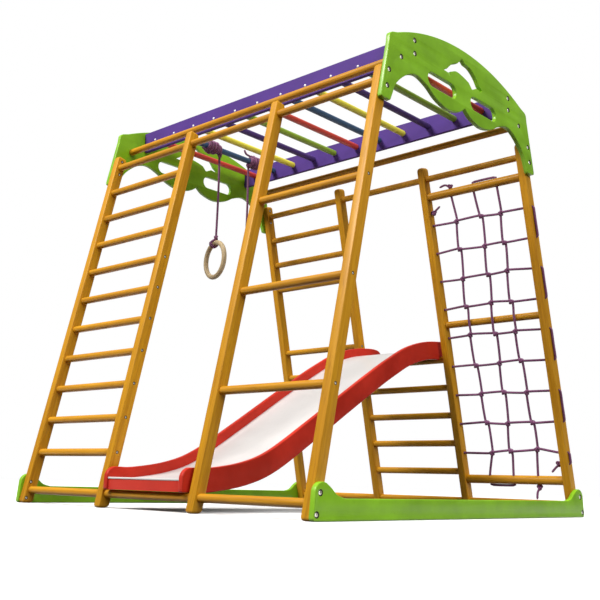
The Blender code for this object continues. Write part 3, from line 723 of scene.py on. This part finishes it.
def cut_holes(piece, lines):
    """Drills the net's holes through a piece and keeps the result as its mesh."""
    tool = bmesh.new()
    for start, end in lines:
        length = (Vector(end) - Vector(start)).length
        add_turned(tool, along(start, end), ((NET_HOLE_R, 0.0), (NET_HOLE_R, length)), 16)
    mesh = bpy.data.meshes.new("drill")
    bmesh.ops.recalc_face_normals(tool, faces=tool.faces)
    tool.to_mesh(mesh)
    tool.free()
    drill = bpy.data.objects.new("drill", mesh)
    scene.collection.objects.link(drill)
    change = piece.modifiers.new("holes", "BOOLEAN")
    change.object = drill
    change.solver = "EXACT"
    graph = bpy.context.evaluated_depsgraph_get()
    graph.update()
    drilled = bpy.data.meshes.new_from_object(piece.evaluated_get(graph))
    piece.modifiers.clear()
    piece.data = drilled
    drilled.set_sharp_from_angle(angle=math.radians(SHARP_ANGLE))
    bpy.data.objects.remove(drill)


def make_walls():
    """The posts, rails, rods and rungs."""
    net_holes = {2: [*NET_ROW_Z, NET_ENDS_Z[0]], 3: [*NET_ROW_Z, NET_ENDS_Z[1]]}
    for number in range(4):
        make_post(f"front_post_{number + 1}", -1, number)
        node = f"back_post_{number + 1}" if number != 1 else "back_post_2_and_rungs"
        make_post(node, 1, number, net_holes.get(number, ()))
    for side in ("front", "back"):
        for kind in ("low_rail", "top_rail", "long_rod"):
            rod_for(f"{side}_{kind}", 0, RUNG_R, "wood")
    for i in range(len(LADDER_Z)):
        rod_for(f"narrow_ladder_rung_{i + 1:02d}", 0, RUNG_R, "wood")
    for i in range(len(WIDE_Z)):
        rod_for(f"wide_ladder_rung_{i + 1}", 0, RUNG_R, "wood")
    make_glued_rungs()
    rod_for("net_middle_rung", 0, NET_MIDDLE_R, "wood")
    for node in ("net_upper_rung", "net_lower_rung"):
        make_net_rung(node)


def make_glued_rungs():
    """The short rungs that run from back post 2 to the posts beside it."""
    left, middle, right = POSTS_X[:3]
    inside = POST_WIDTH / 2 - 0.0145
    levels = [(TOP_RAIL_Z - LADDER_PITCH * i, left) for i in (1, 2, 3)]
    levels += [(z, left) for z in BACK_STEP_Z]
    levels += [(HOOK_Z - HOOK_PITCH * i, right) for i in range(5)]
    for i, (z, far) in enumerate(levels, start=1):
        y = wall_y(1, z)
        end = far + inside if far < middle else far - inside
        rod(f"back_glued_rung_{i:02d}", (middle, y, z), (end, y, z), RUNG_R, "wood")


def make_net_rung(node):
    """A thick rung between its two tenons, drilled for the net's upright rope."""
    low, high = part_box(node)
    y, z = (low.y + high.y) / 2, (low.z + high.z) / 2
    shoulder, reach = 0.0153, 0.04
    start, end = (low.x + shoulder, y, z), (high.x - shoulder, y, z)
    rung = rod(f"{node}_turned", start, end, NET_RUNG_R, "wood", [node])
    ends_z = (z - reach, z + reach)
    cut_holes(rung, [[(x, wall_y(1, end_z), end_z) for end_z in ends_z] for x in NET_X])


# -------------------------------------------- climbing net
NET_ROWS = len(NET_ROW_Z)
ROW_OVER_MIDDLE_RUNG = 3
WRAP_HALF = 0.0075
GIVE = 0.0022  # how far each rope gives way to the other where they cross


def face_x(post, direction):
    """Where a post's left or right face is."""
    return POSTS_X[post] + direction * POST_WIDTH / 2


def net_point(x, z, out=0.0):
    """A point in the back wall's plane, or moved out of it towards the back."""
    return Vector((x, wall_y(1, z) + out / math.cos(LEAN), z))


def crossing(column, row):
    """Where an upright crosses a level rope: x, z and the distance from the wall's plane."""
    top, middle, bottom = NET_DRIFT[column]
    share, z = row / (NET_ROWS - 1), NET_ROW_Z[row]
    drift = top * (1 - share) * (1 - 2 * share) + 4 * middle * share * (1 - share)
    drift += bottom * share * (2 * share - 1)
    bow = -NET_BOW * max(0.0, 1.0 - abs(z - NET_MIDDLE_Z) / 0.40)
    lift = 0.0035 * math.sin(2.1 * row + 1.9 * column)
    if row == NET_ROWS - 1:
        lift = 0.007 * column
    return NET_X[column] + drift, z + lift, bow


def jog(column, row):
    """How far an upright steps sideways as it passes through a crossing."""
    return 0.0125 if (column + row) % 2 else -0.005


def level_rope_route():
    """The net's level rope: through the posts and back, nine times, between its two knots."""
    left, right = face_x(2, -1), face_x(3, 1)
    start, end = NET_ENDS_Z
    rungs = [HOOK_Z - HOOK_PITCH * k for k in range(5)]

    def loop(x, direction, z_from, z_to, dodge):
        # Down the post's far side to the next row, and round a rung's end if one is in the way.
        out = x + 0.0050 * direction
        made = [net_point(x, z_from), net_point(out, z_from - 0.005)]
        if dodge:
            for z in (dodge + 0.012, dodge - 0.012):
                made.append(net_point(out, z, RUNG_R + 1.5 * ROPE_R))
        else:
            made.append(net_point(out, (z_from + z_to) / 2))
        return made + [net_point(out, z_to + 0.005), net_point(x, z_to)]

    route = [net_point(face_x(2, 1) + 0.010, start)]
    route += loop(left, -1, start, NET_ROW_Z[0], None)
    for row, z in enumerate(NET_ROW_Z):
        level = [net_point(face_x(2, 1) + 0.004, z)]
        for column in range(3):
            x, at_z, bow = crossing(column, row)
            tilt = math.copysign(GIVE, jog(column, row))
            level.append(net_point(x - 0.006, at_z + tilt, bow - GIVE))
            level.append(net_point(x + 0.006, at_z - tilt, bow - GIVE))
        level.append(net_point(face_x(3, -1) - 0.004, z))
        route += level if row % 2 == 0 else level[::-1]
        below = NET_ROW_Z[row + 1] if row < NET_ROWS - 1 else end
        if row % 2 == 0:
            route += loop(right, 1, z, below, None)
        else:
            route += loop(left, -1, z, below, next((r for r in rungs if below < r < z), None))
    route.append(net_point(face_x(3, -1) - 0.010, end))
    return route


def upright_rope_route():
    """The net's upright rope: down the first column, up the second and down the third."""
    upper, lower = NET_RUNG_Z
    over = upper + NET_RUNG_R + ROPE_R
    under = lower - NET_RUNG_R - ROPE_R

    def upright(column):
        straight = NET_X[column]
        made = [net_point(straight, z) for z in (upper, upper - NET_RUNG_R - 0.004)]
        for row in range(NET_ROWS):
            x, z, bow = crossing(column, row)
            step = jog(column, row) / 2
            made.append(net_point(x - step, z + WRAP_HALF, bow + GIVE))
            made.append(net_point(x + step, z - WRAP_HALF, bow + GIVE))
            if row == ROW_OVER_MIDDLE_RUNG:
                next_x = crossing(column, row + 1)[0] - jog(column, row + 1) / 2
                middle_x = (x + step + next_x) / 2
                for at_z in (NET_MIDDLE_Z + 0.008, NET_MIDDLE_Z - 0.008):
                    made.append(net_point(middle_x, at_z, -(NET_MIDDLE_R + ROPE_R)))
        return made + [net_point(straight, z) for z in (lower + NET_RUNG_R + 0.004, lower)]

    def bridge(column, z, rise):
        # Round a rung's far side, from a column to the next.
        near, far = NET_X[column : column + 2]
        steps = ((near + 0.001, rise), (near + 0.009, 0), (far - 0.009, 0), (far - 0.001, rise))
        return [net_point(x, z + up) for x, up in steps]

    down, up = bridge(0, under, 0.006), bridge(1, over, -0.006)
    start, end = net_point(NET_X[0], over), net_point(NET_X[2], under)
    return [start, *upright(0), *down, *upright(1)[::-1], *up, *upright(2), end]


def add_wrap(mesh_data, column, row):
    """The net's knot at a crossing: two slanted turns and one level one round both ropes."""
    x, z, bow = crossing(column, row)
    step = jog(column, row)
    middle = net_point(x, z, bow)
    above = net_point(x - step / 2, z + WRAP_HALF, bow)
    below = net_point(x + step / 2, z - WRAP_HALF, bow)
    upright = (above - below).normalized()
    across = Vector((1, 0, 0))
    out = upright.cross(across).normalized()
    sign = 1 if step > 0 else -1
    steps = 24
    for spread, reach, lean in ((1.0, 0.0082, 0.5), (-1.0, 0.0078, -0.45), (0.0, 0.0092, 1.57)):
        side = (across * math.cos(lean * sign) + upright * math.sin(lean * sign)).normalized()
        up = out.cross(side)
        points = []
        for i in range(steps + 1):
            angle = math.tau * i / steps
            offset = side * reach * math.cos(angle) + out * reach * math.sin(angle)
            points.append(middle + offset + up * spread * 0.0038)
        add_tube(mesh_data, points, 0.0045, 8, 1.0)


def make_net():
    """The two ropes, the wraps at their crossings, and the four end knots with their tails."""
    made = bmesh.new()
    add_tube(made, smooth_path(level_rope_route(), 0.006), ROPE_R, 10)
    finish_rope("net_level_rope", made, "frame", ["climbing_net"])
    made = bmesh.new()
    add_tube(made, smooth_path(upright_rope_route(), 0.006), ROPE_R, 10)
    finish_rope("net_upright_rope", made, "frame")
    made = bmesh.new()
    for row in range(NET_ROWS):
        for column in range(3):
            add_wrap(made, column, row)
    tie = Matrix.Rotation(0.4, 3, "Z")
    start = net_point(face_x(2, 1) + 0.014, NET_ENDS_Z[0])
    end = net_point(face_x(3, -1) - 0.014, NET_ENDS_Z[1])
    over = net_point(NET_X[0], NET_RUNG_Z[0] + NET_RUNG_R + 0.008)
    under = net_point(NET_X[2], NET_RUNG_Z[1] - NET_RUNG_R - 0.010)
    tails = (
        (start, ((0.0, 0, 0.004), (0.018, -0.004, 0.012), (0.034, -0.006, 0.022))),
        (end, ((0.0, 0, -0.004), (-0.014, -0.004, -0.018), (-0.028, -0.006, -0.034))),
        (over, ((-0.004, 0, 0.0), (-0.024, -0.004, 0.010), (-0.050, -0.006, 0.004))),
        (under, ((0.0, 0, -0.004), (-0.008, -0.004, -0.020), (-0.010, -0.006, -0.048))),
    )
    for at, steps in tails:
        add_knot(made, at, 0.0095, 0.0044, tie)
        add_tube(made, smooth_path([at + Vector(step) for step in steps], 0.006), TAIL_R, 10)
    finish_rope("net_knots", made, "frame")


# -------------------------------------------- plates and floor bars
def plate_outline():
    """An end plate: scalloped underside, a leg along each post and an arched top."""
    crown, leg_z, steps = 1.0368, 1.345, 26

    def outer(z):
        return wall_y(1, z) + POST_DEPTH / 2 / math.cos(LEAN)

    underside = [
        (0.0, 1.468),
        (0.040, 1.442),
        (0.115, 1.427),
        (0.188, 1.443),
        (0.245, 1.473),
        (0.310, 1.490),
        (0.370, 1.470),
        (0.430, 1.420),
        (0.455, 1.370),
        (0.464, leg_z + 0.004),
    ]
    half = flat_path(underside, 0.012)
    half += [(0.468, leg_z), (outer(leg_z) - 0.012, leg_z), (outer(leg_z) - 0.004, leg_z + 0.004)]
    half += [(outer(leg_z + 0.012), leg_z + 0.012), (outer(1.550), 1.550)]
    half += flat_path([(outer(1.560), 1.560), (0.4660, 1.590), (0.452, 1.601)], 0.006)
    for i in range(1, steps + 1):
        y = 0.440 * (1 - i / steps)
        half.append((y, TOP_Z - crown + math.sqrt(crown**2 - y**2)))
    return mirrored(half)


def slot_outline(middle):
    """A level hand slot with round ends."""
    z, half_length, half_height = 1.509, 0.092, 0.0275
    reach = half_length - half_height
    near = arc((middle + reach, z), half_height, -90, 90, 14)
    return near + arc((middle - reach, z), half_height, 90, 270, 14)


def dolphin_outline():
    """A plain leaping dolphin: an arched back with one fin, a slim belly and a forked tail."""
    back = flat_path([(-0.118, 1.586), (-0.085, 1.615), (-0.045, 1.634)], 0.006)
    fin = [(-0.022, 1.655), (-0.016, 1.663), (-0.012, 1.662)]
    rump = flat_path([(0.006, 1.649), (0.045, 1.643), (0.082, 1.620), (0.105, 1.594)], 0.006)
    nose = [(0.121, 1.584), (0.124, 1.582), (0.121, 1.578), (0.112, 1.574), (0.085, 1.578)]
    flipper = [(0.056, 1.564), (0.050, 1.564)]
    belly = flat_path([(0.030, 1.583), (-0.010, 1.593), (-0.055, 1.598), (-0.092, 1.584)], 0.006)
    tail = [(-0.098, 1.561), (-0.113, 1.574), (-0.138, 1.575)]
    return [*back, *fin, *rump, *nose, *flipper, *belly, *tail]


def floor_bar_outline():
    """A floor bar: flat underneath, with a raised round end over each post's foot."""
    end, high, low = HALF_DEPTH, 0.107, 0.062
    half = [(0.0, 0.0)] + arc((end - 0.010, 0.010), 0.010, -90, 0, 5)
    half += arc((end - 0.040, high - 0.034), 0.034, 15, 100, 12)
    fall = [(end - 0.056, high - 0.003), (end - 0.078, high - 0.016)]
    fall += [(end - 0.105, low + 0.009), (end - 0.140, low)]
    half += flat_path(fall, 0.008)
    half.append((0.0, low))
    return mirrored(half)


def add_screw(mesh_data, at, radius, height, shank=0.0006):
    """A low domed screw head with a hexagonal socket, standing on the plane z = 0 of at."""
    count = 24
    steps = [
        (radius * 0.98, -shank),
        (radius, height * 0.2),
        (radius * 0.86, height * 0.72),
        (radius * 0.62, height),
    ]
    rings = [circle(r, count, z) for r, z in steps]
    for r, z in ((radius * 0.50, height), (radius * 0.48, height * 0.1 - 0.001)):
        ring = []
        for i in range(count):
            angle = math.tau * (i + 0.5) / count
            sector = (angle % (math.pi / 3)) - math.pi / 6
            reach = r * math.cos(math.pi / 6) / math.cos(sector)
            ring.append(Vector((reach * math.cos(angle), reach * math.sin(angle), z)))
        rings.append(ring)
    skin(mesh_data, [[at @ p for p in ring] for ring in rings])


def screw_holes(places):
    """Round outlines near both ends of a board."""
    return [arc((side * y, z), SCREW_HOLE_R, 0, 345, 23) for y, z in places for side in SIDES]


def on_face(x, y, z, direction):
    """A frame on a face that looks along +X or -X."""
    return along((x, y, z), (x + direction, y, z))


SCREW_HOLE_R = 0.0078
PLATE_EDGE = 0.0030
PLATE_SCREWS = ((0.322, 1.568), (0.322, 1.618), (0.403, 1.526), (0.4725, 1.4545), (0.483, 1.393))
FLOOR_SCREWS = ((0.7925, 0.077), (0.807, 0.018))
THROUGH_BOLTS = PLATE_SCREWS[3:] + FLOOR_SCREWS
# The dark liners in the screw holes and the dark discs under the screws are painted shade.
PAINTED_SHADE_LINER_DEPTHS = (0.0001, 0.0004, 0.0010, 0.0018, 0.0028, 0.0160)
SCREW_PAINTED_SHADE = ((0.0062, -0.0005), (0.0058, 0.0003))
BOLT_PAINTED_SHADE = ((0.0070, -0.0015), (0.0066, 0.0003))
CAP = ((0.0052, -0.0006), (0.0053, 0.0006), (0.0046, 0.0016), (0.0030, 0.0024), (0.0010, 0.0027))


def make_plate_screws(painted_shade_mesh):
    """Screws sunk in the end plates and floor bars, in holes with dark flared liners that are
    painted shade.
    """
    made = bmesh.new()
    for direction in SIDES:
        for y, z in PLATE_SCREWS + FLOOR_SCREWS:
            for side in SIDES:
                at = on_face(direction * (HALF_LENGTH - 0.0026), side * y, z, direction)
                add_screw(made, at, 0.0067, 0.0024, BOARD - 0.0032)
                at = on_face(direction * HALF_LENGTH, side * y, z, direction)
                # A dark liner down the hole's rounded rim: painted shade.
                rings = []
                for depth in PAINTED_SHADE_LINER_DEPTHS:
                    flare = math.sqrt(PLATE_EDGE**2 - max(0.0, PLATE_EDGE - depth) ** 2)
                    radius = SCREW_HOLE_R + PLATE_EDGE - flare - 0.00012
                    rings.append([at @ p for p in circle(radius, 24, -depth)])
                skin(painted_shade_mesh, rings, open_start=True)
    finish_piece("plate_screws", made, "steel", "frame")


def make_post_screws(painted_shade_mesh):
    """Small screws in the posts, and the through bolts' ends on the end posts' inner faces, each on
    a dark disc of painted shade.
    """
    made = bmesh.new()
    # Post, wall, height and the face's direction; the ladders' screws are beside their rungs.
    spots = [(1, -1, z, 1) for z in LADDER_Z[:7]]
    spots += [(0, -1, z, -1) for z in LADDER_Z[:7]]
    spots += [(3, -1, z, 1) for z in WIDE_Z]
    spots.append((1, 1, BACK_STEP_Z[0], 1))
    for post, side, z, direction in spots:
        at = on_face(face_x(post, direction), wall_y(side, z), z, direction)
        add_screw(made, at, 0.0036, 0.0011)
        # A dark disc under the screw head: painted shade.
        add_turned(painted_shade_mesh, at, SCREW_PAINTED_SHADE)
    for post, direction in ((0, 1), (3, -1)):
        for y, z in THROUGH_BOLTS:
            for side in SIDES:
                at = on_face(face_x(post, direction), side * y, z, direction)
                add_screw(made, at, 0.0040, 0.0022)
                # A dark disc under the bolt's end: painted shade.
                add_turned(painted_shade_mesh, at, BOLT_PAINTED_SHADE)
    finish_piece("post_screws", made, "steel", "frame")


def make_board_caps():
    """White caps on the side boards, over the monkey bars' ends."""
    made = bmesh.new()
    for x in BAR_X:
        for node, direction in (("front_side_board", -1), ("back_side_board", 1)):
            low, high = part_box(node)
            y = low.y if direction < 0 else high.y
            add_turned(made, along((x, y, BAR_Z), (x, y + direction, BAR_Z)), CAP)
    finish_piece("board_caps", made, "cap", "frame")


def make_screws():
    # The dark liners and discs round the screws, which are painted shade, are kept as one piece.
    painted_shade_mesh = bmesh.new()
    make_plate_screws(painted_shade_mesh)
    make_post_screws(painted_shade_mesh)
    finish_piece("screw_seats", painted_shade_mesh, "painted_shade", "frame")
    make_board_caps()


def make_panels():
    """The end plates, floor bars and side boards."""
    plate = [plate_outline(), slot_outline(-0.150), slot_outline(0.132), dolphin_outline()]
    plate += screw_holes(PLATE_SCREWS)
    floor_bar = [floor_bar_outline(), *screw_holes(FLOOR_SCREWS)]
    for direction, word in ((-1, "left"), (1, "right")):
        x0, x1 = sorted((direction * (HALF_LENGTH - BOARD), direction * HALF_LENGTH))
        for kind, outlines in (("end_plate", plate), ("floor_bar", floor_bar)):
            node = f"{word}_{kind}"
            board(f"{node}_cut", outlines, x0, x1, "green", "frame", node, PLATE_EDGE)
    for node in ("front_side_board", "back_side_board"):
        slab(f"{node}_cut", node, "purple", "frame", 0.0022)


def make_monkey_bars():
    for node in sorted(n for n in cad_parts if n.startswith("monkey_bar_")):
        colour = node.rsplit("_", 1)[1]
        look = f"bar_{colour}"
        rod_for(node, 1, BAR_R, look if look in LOOKS else colour)


# -------------------------------------------- slide
SLIDE_KNOTS = (
    (-0.783, 0.1005),
    (-0.70, 0.1020),
    (-0.545, 0.1260),
    (-0.405, 0.1740),
    (-0.20, 0.2900),
    (0.0, 0.4090),
    (0.19, 0.5200),
    (0.30, 0.5800),
    (0.41, 0.6335),
    (0.535, 0.6710),
    (0.655, 0.6865),
    (0.700, 0.6850),
)
RAIL_HALF = 0.039
SLIDE_HALF = 0.204
BED = 0.006


def slide_line(offset, start=0.0, end=0.0):
    """The rails' middle line, moved square to itself, with its ends pulled in."""
    line = smooth_path([(*k, 0.0) for k in SLIDE_KNOTS], 0.022)
    moved = []
    for i, point in enumerate(line):
        head = (line[min(i + 1, len(line) - 1)] - line[max(i - 1, 0)]).normalized()
        pull = start if i == 0 else -end if i == len(line) - 1 else 0.0
        y = point.x - head.y * offset + head.x * pull
        z = point.y + head.x * offset + head.y * pull
        moved.append((y, z))
    return moved


def rail_outline():
    """A slide rail: a band with round ends, notched underneath for the hook rung."""
    foot, tip = SLIDE_KNOTS[0], SLIDE_KNOTS[-1]
    lower = slide_line(-RAIL_HALF)
    upper = slide_line(RAIL_HALF)[::-1]
    hook_y = wall_y(1, HOOK_Z)
    reach = RUNG_R + 0.0012
    before = [p for p in lower if p[0] < hook_y - reach]
    after = [p for p in lower if p[0] > hook_y + reach]
    below = HOOK_Z - before[-1][1]
    edge_angle = math.degrees(math.asin(-below / reach))
    notch = arc((hook_y, HOOK_Z), reach, 180 - edge_angle, edge_angle, 12)
    tip_arc = arc(tip, RAIL_HALF, -93, 84, 20)[1:-1]
    foot_arc = arc(foot, RAIL_HALF, 90, 165, 12)[1:]
    corner_r = 0.007
    corner = arc([c - RAIL_HALF + corner_r for c in foot], corner_r, 180, 270, 5)
    return before + notch + after + tip_arc + upper + foot_arc + corner


def make_bed(half):
    """The slide's sheet, with a rounded lip at the foot."""
    ends = (-0.031, 0.0123)
    top, under = (slide_line(offset, *ends) for offset in (BED / 2, -BED / 2))
    front = top[0][0] - 0.0022
    nose = ((0.0010, 0.0005), (0.0003, 0.0014), (0.0, 0.0026), (0.0003, BED - 0.0004))
    lip = [(front + back, top[0][1] - down) for back, down in nose]
    outline = under + top[::-1] + lip
    made = bmesh.new()
    skin(made, [[(x, y, z) for y, z in outline] for x in (-half, 0.0, half)])
    finish_piece("slide_bed_sheet", made, "white", "slide", nodes=["slide_bed"])


def make_slide():
    inner = SLIDE_HALF - BOARD
    outline = rail_outline()
    for direction, word in ((-1, "left"), (1, "right")):
        x0, x1 = sorted((direction * inner, direction * SLIDE_HALF))
        node = f"slide_{word}_rail"
        board(f"{node}_cut", [outline], x0, x1, "red", "slide", node, 0.0038)
    make_bed(inner + 0.001)
    slab("slide_foot_board", "slide_foot_bar", "red", "slide", 0.0020)
    slab("slide_hook_board", "slide_hook_batten", "wood", "slide", 0.0020)


# -------------------------------------------- floor
def make_floor():
    """A wide floor just under the feet, which casts no shadow and no light on the frame."""
    made = bmesh.new()
    bmesh.ops.create_grid(made, x_segments=2, y_segments=2, size=12.0)
    mesh = bpy.data.meshes.new("floor")
    made.to_mesh(mesh)
    made.free()
    mesh.materials.append(floor_look())
    floor = bpy.data.objects.new("floor", mesh)
    floor.location = (0, 0, -0.0005)
    floor.visible_diffuse = False
    floor.visible_shadow = False
    scene.collection.objects.link(floor)


make_camera()
make_studio()
make_rings()
make_walls()
make_net()
make_panels()
make_screws()
make_monkey_bars()
make_slide()
make_floor()
